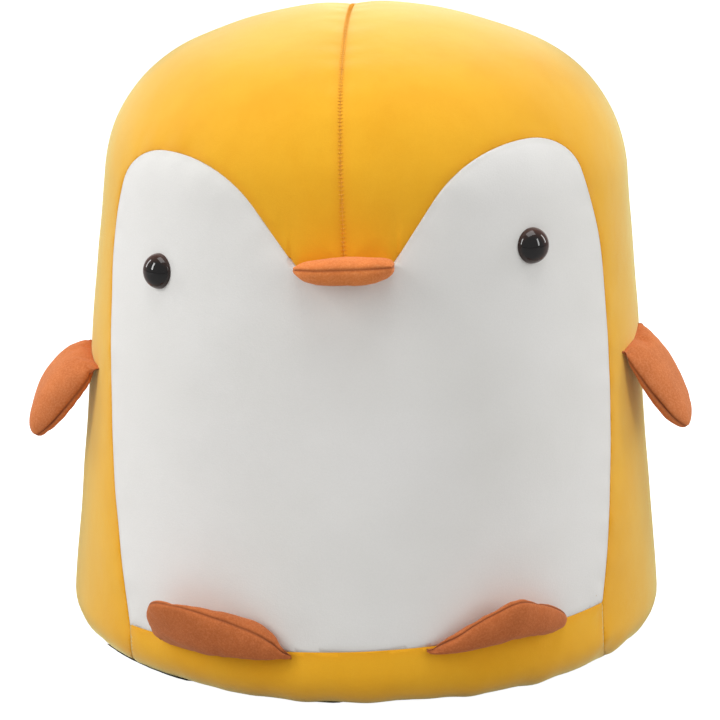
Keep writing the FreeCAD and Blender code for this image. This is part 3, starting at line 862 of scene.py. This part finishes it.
def inset_section(inset, low, high, start=0.0, every=14):
    """Points of the drum's half section pulled in by an inset, from the crown down, between two heights."""
    spots = SECTION - SECTION_NORMALS * inset
    kept = spots[(spots[:, 1] <= high) & (spots[:, 1] >= low) & (spots[:, 0] >= start)]
    return [tuple(spot) for spot in kept[::every]] + [tuple(kept[-1])]


def make_padding(wadding_material, foam_material):
    """Wadding under the cover, a domed seat foam on the top board and a foam sleeve round the wall."""
    floor = HEM_BOTTOM + CLOTH + 0.0005
    outer = inset_section(WADDING_START, floor, 1)
    inner = inset_section(WADDING_END, floor + 0.004, 1)
    outline = outer + inner[::-1]
    wadding = lathe("wadding_layer", outline)
    dent_for_washers(wadding)
    finish_piece(wadding, wadding_material, "stool", ["wadding"])

    top = inset_section(WADDING_END + LAYER_GAP, TOP_BOARD_TOP + 0.004, 1)
    seat_bottom = TOP_BOARD_TOP + LAYER_GAP
    seat = top + [(top[-1][0] + 0.0002, seat_bottom), (0.0, seat_bottom)]
    piece = lathe("seat_foam_block", seat)
    finish_piece(piece, foam_material, "stool", ["seat_foam"])

    low = floor + 0.006
    side = inset_section(WADDING_END + LAYER_GAP, low, TOP_BOARD_TOP - 0.002)
    slope = math.tan(WALL_TAPER)
    inner_foot = wall_radius(low) - FOAM_END / math.cos(WALL_TAPER)
    inner_top = inner_foot - (side[0][1] - low) * slope
    sleeve = side + [(inner_foot, low), (inner_top, side[0][1])]
    piece = lathe("side_foam_sleeve", sleeve)
    finish_piece(piece, foam_material, "stool", ["side_foam"])


def dent_for_washers(wadding):
    """Press the wadding in behind each eye's washer, and make its surface a little lumpy."""
    washers = [sum(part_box(f"eye_washer_{side}"), Vector()) / 2 for side in ("left", "right")]
    for vertex in wadding.data.vertices:
        lump = LUMP_DEPTH * noise.noise(vertex.co * LUMP_RATE)
        near = min((vertex.co - washer).length for washer in washers)
        press = DENT_DEPTH * max(0.0, 1 - near / DENT_REACH)
        inward = Vector((vertex.co.x, vertex.co.y, 0)).normalized()
        vertex.co -= inward * (press + abs(lump))


def make_base_cloth(material):
    """Black cloth under the drum; it shows where its edge turns up over the hem, at the front left."""
    rings, segments = 26, 360
    flat_reach = wall_radius(HEM_BOTTOM + HEM_RADIUS) - HEM_RADIUS / math.cos(WALL_TAPER)
    fold_radius = HEM_RADIUS + 0.0007
    flaps = [(-48.0, 13.0, 0.0145), (-6.5, 4.5, 0.0095)]  # azimuth, half width, rise
    spots = []
    for step in range(segments):
        azimuth = 360.0 * step / segments
        azimuth = azimuth - 360 if azimuth > 180 else azimuth
        angle = math.radians(azimuth)
        turn_up = sum(rise / (1 + math.exp((abs(azimuth - middle) - half) * 1.3))
                      for middle, half, rise in flaps)
        around = Vector((math.sin(angle), -math.cos(angle), 0))
        turn_up *= 1 + 0.25 * noise.noise(around * 22)
        edge = BASE_CLOTH_RADIUS + turn_up
        for ring in range(rings + 1):
            share = ring / rings
            radius = edge * share ** 0.8
            bend = max(0.0, radius - flat_reach) / fold_radius
            out = min(radius, flat_reach) + fold_radius * math.sin(bend)
            height = 0.0001 + fold_radius * (1 - math.cos(bend))
            height += 0.00015 * (noise.noise(around * radius * 60) + 1) * (1 - share)
            spots.append(around * out + Vector((0, 0, height)))
    piece = mesh_from("underside_cloth", spots, turned_faces(segments, rings + 1))
    weld(piece.data)
    thicken(piece, UNDERSIDE_CLOTH, 0)
    finish_piece(piece, material, "stool", ["base_cloth"])


# ---------------------------------------------------------------- materials

class Look:
    """A procedural material: a Principled shader and the nodes that feed it."""

    def __init__(self, name, rest=False, **constants):
        self.material = bpy.data.materials.new(name)
        self.material.use_nodes = True
        self.nodes = self.material.node_tree.nodes
        self.links = self.material.node_tree.links
        self.shader = self.nodes["Principled BSDF"]
        for socket, value in constants.items():
            self.shader.inputs[socket.replace("_", " ")].default_value = value
        if rest:
            source = self.add("ShaderNodeAttribute")
            source.attribute_name = "rest"
            self.place = source.outputs["Vector"]
        else:
            self.place = self.add("ShaderNodeTexCoord").outputs["Object"]

    def feed(self, socket, value):
        """Link a socket to another's output, or set it to a constant."""
        if isinstance(value, bpy.types.NodeSocket):
            self.links.new(value, socket)
        else:
            socket.default_value = value

    def add(self, kind, **inputs):
        node = self.nodes.new(kind)
        for socket, value in inputs.items():
            self.feed(node.inputs[socket.replace("_", " ")], value)
        return node

    def stretched(self, scale):
        return self.add("ShaderNodeMapping", Vector=self.place, Scale=scale).outputs[0]

    def noise(self, rate, detail=3.0, roughness=0.55, stretch=None):
        place = self.stretched(stretch) if stretch else self.place
        node = self.add("ShaderNodeTexNoise", Vector=place, Scale=rate, Detail=detail, Roughness=roughness)
        return node.outputs[0]

    def spread(self, value, low, high, first=0.0, last=1.0):
        """The value's range from low to high mapped to first..last."""
        node = self.add("ShaderNodeMapRange", Value=value)
        for index, number in enumerate((low, high, first, last), start=1):
            node.inputs[index].default_value = number
        return node.outputs[0]

    def mix(self, factor, first, last):
        """A mix of two colours, each a socket or its three values."""
        node = self.nodes.new("ShaderNodeMix")
        node.data_type = "RGBA"
        self.feed(node.inputs[0], factor)
        for index, colour in ((6, first), (7, last)):
            self.feed(node.inputs[index], (*colour, 1) if isinstance(colour, tuple) else colour)
        return node.outputs[2]

    def math(self, operation, first, last):
        node = self.nodes.new("ShaderNodeMath")
        node.operation = operation
        self.feed(node.inputs[0], first)
        self.feed(node.inputs[1], last)
        return node.outputs[0]

    def cells(self, rate):
        """Distance from the middle of the nearest cell of a cellular pattern."""
        return self.add("ShaderNodeTexVoronoi", Vector=self.place, Scale=rate).outputs["Distance"]

    def surface(self, tone, rough, *reliefs):
        """Finish the look: colour, layers of relief and, if it varies, roughness as spread takes it."""
        self.feed(self.shader.inputs["Base Color"], tone)
        if rough:
            self.feed(self.shader.inputs["Roughness"], self.spread(*rough))
        target = self.shader
        for height, distance, strength in reversed(reliefs):
            layer = self.add("ShaderNodeBump", Height=height, Distance=distance, Strength=strength)
            self.links.new(layer.outputs[0], target.inputs["Normal"])
            target = layer
        return self.material

    def grained(self, pattern, ends, tones, rough, relief):
        """Finish a look whose tone, roughness and relief follow one pattern."""
        tone = self.mix(self.spread(pattern, *ends), *tones)
        return self.surface(tone, (pattern, 0, 1, *rough), (pattern, *relief))

    def seam(self, reach):
        """1 on a seam, falling to 0 at a distance."""
        source = self.add("ShaderNodeAttribute")
        source.attribute_name = "seam"
        return self.spread(source.outputs["Fac"], 0.0, reach, 1.0, 0.0)


def velvet_look():
    look = Look("yellow_velvet", rest=True, Roughness=0.85, Sheen_Weight=1.0, Sheen_Roughness=0.42,
                Sheen_Tint=(0.95, 1.0, 0.58, 1), Specular_IOR_Level=0.1)
    blotch = look.spread(look.noise(14, 4), 0.32, 0.68)
    strokes = look.spread(look.noise(48, 3, 0.6, stretch=(1.0, 1.0, 0.45)), 0.3, 0.7)
    deep, main, pale = (0.82, 0.385, 0.011), (0.87, 0.435, 0.016), (0.91, 0.50, 0.034)
    body = look.mix(blotch, deep, main)
    body = look.mix(look.math("MULTIPLY", strokes, 0.4), body, pale)
    # Deeper orange near the seams: partly the pile turning at the seam, partly painted shade in the seam
    # valley.
    body = look.mix(look.math("MULTIPLY", look.seam(0.006), 0.35), body, (0.80, 0.30, 0.010))
    fibre = look.noise(1500, 2)
    body = look.mix(look.spread(fibre, 0.3, 0.7, 0.0, 0.15), body, (0.72, 0.29, 0.010))
    return look.surface(body, (strokes, 0, 1, 0.78, 0.95), (look.noise(90, 3), 0.0005, 0.4),
                        (fibre, 0.00025, 0.5))


def brushed_look():
    look = Look("white_brushed_cloth", rest=True, Roughness=0.9, Sheen_Weight=0.15, Sheen_Roughness=0.5,
                Specular_IOR_Level=0.15)
    cloud = look.spread(look.noise(11, 3), 0.3, 0.7)
    body = look.mix(cloud, (0.775, 0.765, 0.735), (0.815, 0.805, 0.785))
    # Greyer near the seams: painted shade along the seam's edge.
    body = look.mix(look.math("MULTIPLY", look.seam(0.004), 0.35), body, (0.60, 0.57, 0.52))
    grain = look.noise(1100, 2)
    body = look.mix(look.spread(grain, 0.3, 0.7, 0.0, 0.10), body, (0.6, 0.59, 0.57))
    return look.surface(body, (cloud, 0, 1, 0.86, 0.95), (look.noise(70, 2), 0.0004, 0.35),
                        (grain, 0.00015, 0.5))


def suede_look(name, deep, main, pale, seam):
    look = Look(name, rest=True, Roughness=0.9, Sheen_Weight=0.2, Sheen_Roughness=0.45,
                Sheen_Tint=(1.0, 0.70, 0.5, 1), Specular_IOR_Level=0.15)
    blotch = look.spread(look.noise(60, 4, 0.6), 0.3, 0.7)
    body = look.mix(blotch, deep, main)
    weave = look.noise(900, 3, 0.65)
    body = look.mix(look.spread(weave, 0.42, 0.68, 0.0, 0.55), body, pale)
    body = look.mix(look.spread(look.noise(2200, 1), 0.3, 0.6, 0.35, 0.0), body, deep)
    # Near black towards the sewn rim: painted shade in the rim's crease.
    body = look.mix(look.math("POWER", look.seam(0.0017), 1.6), body, seam)
    return look.surface(body, (blotch, 0, 1, 0.82, 0.95), (look.noise(260, 3), 0.0005, 0.5),
                        (weave, 0.0003, 0.8))


def eye_look(side):
    """Polished plastic: near black in the middle, red-brown towards the rim."""
    look = Look(f"eye_plastic_{side}", Roughness=0.05, Specular_IOR_Level=0.5)
    low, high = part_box(f"eye_{side}")
    middle = (low + high) / 2
    front = Vector((middle.x, low.y, middle.z))
    gap = look.nodes.new("ShaderNodeVectorMath")
    gap.operation = "DISTANCE"
    look.feed(gap.inputs[0], look.place)
    look.feed(gap.inputs[1], front)
    rim = look.spread(gap.outputs["Value"], 0.006, 0.0125)
    body = look.mix(rim, (0.006, 0.005, 0.005), (0.07, 0.022, 0.012))
    tone = look.mix(look.spread(look.noise(300, 2), 0.4, 0.6, 0.0, 0.1), body, (0.02, 0.012, 0.01))
    return look.surface(tone, None, (look.noise(500, 1), 0.00003, 0.2))


def wood_look(name, pale, dark, rate, stretch):
    look = Look(name, Roughness=0.6, Specular_IOR_Level=0.3)
    grain = look.noise(rate, 5, 0.6, stretch=stretch)
    body = look.mix(look.spread(grain, 0.35, 0.65), pale, dark)
    pores = look.noise(rate * 9, 2, stretch=stretch)
    tone = look.mix(look.spread(pores, 0.55, 0.75, 0.0, 0.4), body, dark)
    return look.surface(tone, (grain, 0, 1, 0.5, 0.75), (pores, 0.0002, 0.4))


def hardboard_look():
    look = Look("pressed_hardboard", Roughness=0.5, Specular_IOR_Level=0.3)
    tones = (0.16, 0.075, 0.035), (0.27, 0.14, 0.07)
    return look.grained(look.noise(700, 4), (0.3, 0.7), tones, (0.4, 0.65), (0.0001, 0.4))


def steel_look():
    look = Look("zinc_steel", Metallic=1.0, Roughness=0.35)
    spangle = look.cells(900.0)
    tone = look.mix(look.spread(spangle, 0, 0.8), (0.62, 0.62, 0.60), (0.75, 0.75, 0.74))
    return look.surface(tone, (look.noise(400), 0.3, 0.7, 0.28, 0.45), (spangle, 0.00004, 0.3))


def washer_look():
    look = Look("washer_plastic", Roughness=0.45)
    flow = look.noise(250, 3)
    tone = look.mix(look.spread(flow, 0.3, 0.7), (0.70, 0.70, 0.67), (0.76, 0.76, 0.74))
    return look.surface(tone, (flow, 0, 1, 0.38, 0.55), (look.noise(1500, 1), 0.00003, 0.4))


def foam_look():
    look = Look("open_cell_foam", Roughness=0.95, Specular_IOR_Level=0.1)
    cells = look.cells(650.0)
    tone = look.mix(look.spread(look.noise(20), 0.3, 0.7), (0.76, 0.66, 0.36), (0.80, 0.72, 0.44))
    # Darker cell middles: painted shade in the foam's open pores.
    tone = look.mix(look.spread(cells, 0.05, 0.5, 0.5, 0.0), tone, (0.5, 0.42, 0.2))
    return look.surface(tone, (cells, 0, 0.8, 0.9, 1.0), (cells, 0.0008, 0.8))


def fibre_look(name, tone):
    look = Look(name, Roughness=1.0, Sheen_Weight=0.3, Specular_IOR_Level=0.1)
    strands = look.noise(500, 5, 0.7, stretch=(1.0, 1.0, 0.3))
    shade = tuple(0.82 * value for value in tone)
    return look.grained(strands, (0.35, 0.65), (shade, tone), (0.88, 1.0), (0.0012, 0.8))


def black_cloth_look():
    look = Look("black_nonwoven", Roughness=0.9, Sheen_Weight=0.1, Specular_IOR_Level=0.2)
    dots = look.cells(900.0)
    tone = look.mix(look.spread(dots, 0.1, 0.6), (0.008, 0.008, 0.009), (0.028, 0.027, 0.027))
    return look.surface(tone, (look.noise(300), 0.3, 0.7, 0.8, 1.0), (dots, 0.0002, 0.6))


def thread_look():
    look = Look("yellow_thread", Roughness=0.7, Sheen_Weight=0.2, Specular_IOR_Level=0.3)
    twist = look.noise(2500, 2, stretch=(1.0, 0.4, 1.0))
    tones = (0.74, 0.31, 0.010), (0.86, 0.40, 0.018)
    return look.grained(twist, (0.3, 0.7), tones, (0.6, 0.8), (0.0001, 0.5))


def dress_nodes():
    """Materials for the CAD nodes that stay: the frame, its fixings and the eyes."""
    plywood = wood_look("birch_plywood", (0.62, 0.45, 0.26), (0.45, 0.29, 0.14), 26, (1.0, 0.12, 1.0))
    pine = wood_look("planed_pine", (0.70, 0.50, 0.27), (0.52, 0.31, 0.13), 60, (1.0, 1.0, 0.07))
    steel, washer = steel_look(), washer_look()
    dress = {"base_board": plywood, "top_board": plywood, "side_wall": hardboard_look(),
             "base_screws": steel, "top_screws": steel, "cover_staples": steel,
             "eye_washer_left": washer, "eye_washer_right": washer,
             "eye_left": eye_look("left"), "eye_right": eye_look("right")}
    dress.update({name: pine for name in frame["nodes"] if name.startswith("frame_post")})
    for name, material in dress.items():
        mesh = frame["nodes"][name].data
        if not mesh.materials:
            mesh.materials.append(material)
        for index in range(len(mesh.materials)):
            mesh.materials[index] = material


# ---------------------------------------------------------------- floor, lights and camera

def make_floor():
    spots = [(-4, -4, 0), (4, -4, 0), (4, 4, 0), (-4, 4, 0)]
    floor = mesh_from("studio_floor", spots, [(0, 1, 2, 3)])
    look = Look("pale_floor", Roughness=0.9, Specular_IOR_Level=0.1, Emission_Color=(1, 1, 1, 1))
    tone = look.mix(look.noise(3), (0.44, 0.44, 0.44), (0.46, 0.46, 0.46))
    look.feed(look.shader.inputs["Base Color"], tone)
    seen = look.add("ShaderNodeLightPath").outputs["Is Camera Ray"]
    look.feed(look.shader.inputs["Emission Strength"], look.math("MULTIPLY", seen, FLOOR_LIFT))
    floor.data.materials.append(look.material)


def area_light(name, place, target, size, power, colour=(1, 1, 1)):
    light = bpy.data.lights.new(name, "AREA")
    light.shape = "RECTANGLE"
    light.size, light.size_y = size
    light.energy = power
    light.color = colour
    lamp = bpy.data.objects.new(name, light)
    lamp.location = place
    lamp.rotation_euler = (Vector(target) - Vector(place)).to_track_quat("-Z", "Y").to_euler()
    bpy.context.scene.collection.objects.link(lamp)


def make_lights():
    """A white backdrop, soft even light all round, a key from the left, rims, and a broad light overhead."""
    world = bpy.data.worlds.new("studio_white")
    world.use_nodes = True
    nodes, links = world.node_tree.nodes, world.node_tree.links
    background = nodes["Background"]
    background.inputs["Color"].default_value = (1, 1, 1, 1)
    path, strength = nodes.new("ShaderNodeLightPath"), nodes.new("ShaderNodeMix")
    links.new(path.outputs["Is Camera Ray"], strength.inputs["Factor"])
    strength.inputs["A"].default_value = AMBIENT
    strength.inputs["B"].default_value = 1.0
    links.new(strength.outputs["Result"], background.inputs["Strength"])
    bpy.context.scene.world = world
    middle = (0, 0, 0.2)
    area_light("key_left", (-2.0, -1.1, 1.3), middle, (0.4, 1.5), 25)
    area_light("fill_right", (1.9, -1.1, 1.0), middle, (0.3, 1.3), 11)
    area_light("rim_left", (-2.0, 0.6, 1.0), middle, (0.3, 1.2), 8)
    area_light("rim_right", (2.0, 0.6, 1.0), middle, (0.3, 1.2), 9)
    area_light("top", (0.1, -0.15, 2.0), middle, (1.4, 1.4), 18)
    area_light("back", (0.0, 2.0, 1.5), middle, (1.6, 1.0), 8)


def make_camera():
    """The studio camera, a little to the right of the front and a little above."""
    azimuth, elevation, reach = math.radians(3.3), math.radians(13.7), 1.5439
    target = Vector((0, 0, 0.1573))
    back = Vector((math.sin(azimuth) * math.cos(elevation), -math.cos(azimuth) * math.cos(elevation),
                   math.sin(elevation)))
    camera = bpy.data.cameras.new("camera")
    camera.lens = 127.9
    camera.sensor_width = 36.0
    camera.shift_x = -0.00833
    stand = bpy.data.objects.new("camera", camera)
    stand.location = target + back * reach
    stand.rotation_euler = (-back).to_track_quat("-Z", "Y").to_euler()
    bpy.context.scene.collection.objects.link(stand)
    bpy.context.scene.camera = stand


bpy.context.scene.view_settings.view_transform = "Standard"
make_camera()
make_lights()
make_floor()
make_cover(velvet_look(), brushed_look())
make_seam_thread(thread_look())
# Each suede's last colour is painted shade for the crease at its sewn rim.
suedes = {
    "orange_suede": suede_look("orange_suede", (0.56, 0.155, 0.044), (0.68, 0.205, 0.064),
                               (0.80, 0.31, 0.13), (0.22, 0.055, 0.018)),
    # The same orange suede painted paler for the beak: painted light from above.
    "beak_suede_painted_light": suede_look("beak_suede_painted_light", (0.64, 0.175, 0.043), (0.80, 0.240, 0.061),
                             (0.90, 0.35, 0.12), (0.26, 0.062, 0.018)),
    "brown_suede": suede_look("brown_suede", (0.46, 0.12, 0.032), (0.56, 0.155, 0.044),
                              (0.68, 0.23, 0.085), (0.17, 0.04, 0.012)),
}
stuffing_fibre = fibre_look("stuffing_fibre", (0.86, 0.86, 0.84))
for pouch_spec in POUCHES:
    make_pouch(pouch_spec, suedes, stuffing_fibre)
make_padding(fibre_look("wadding_fibre", (0.87, 0.87, 0.85)), foam_look())
make_base_cloth(black_cloth_look())
dress_nodes()
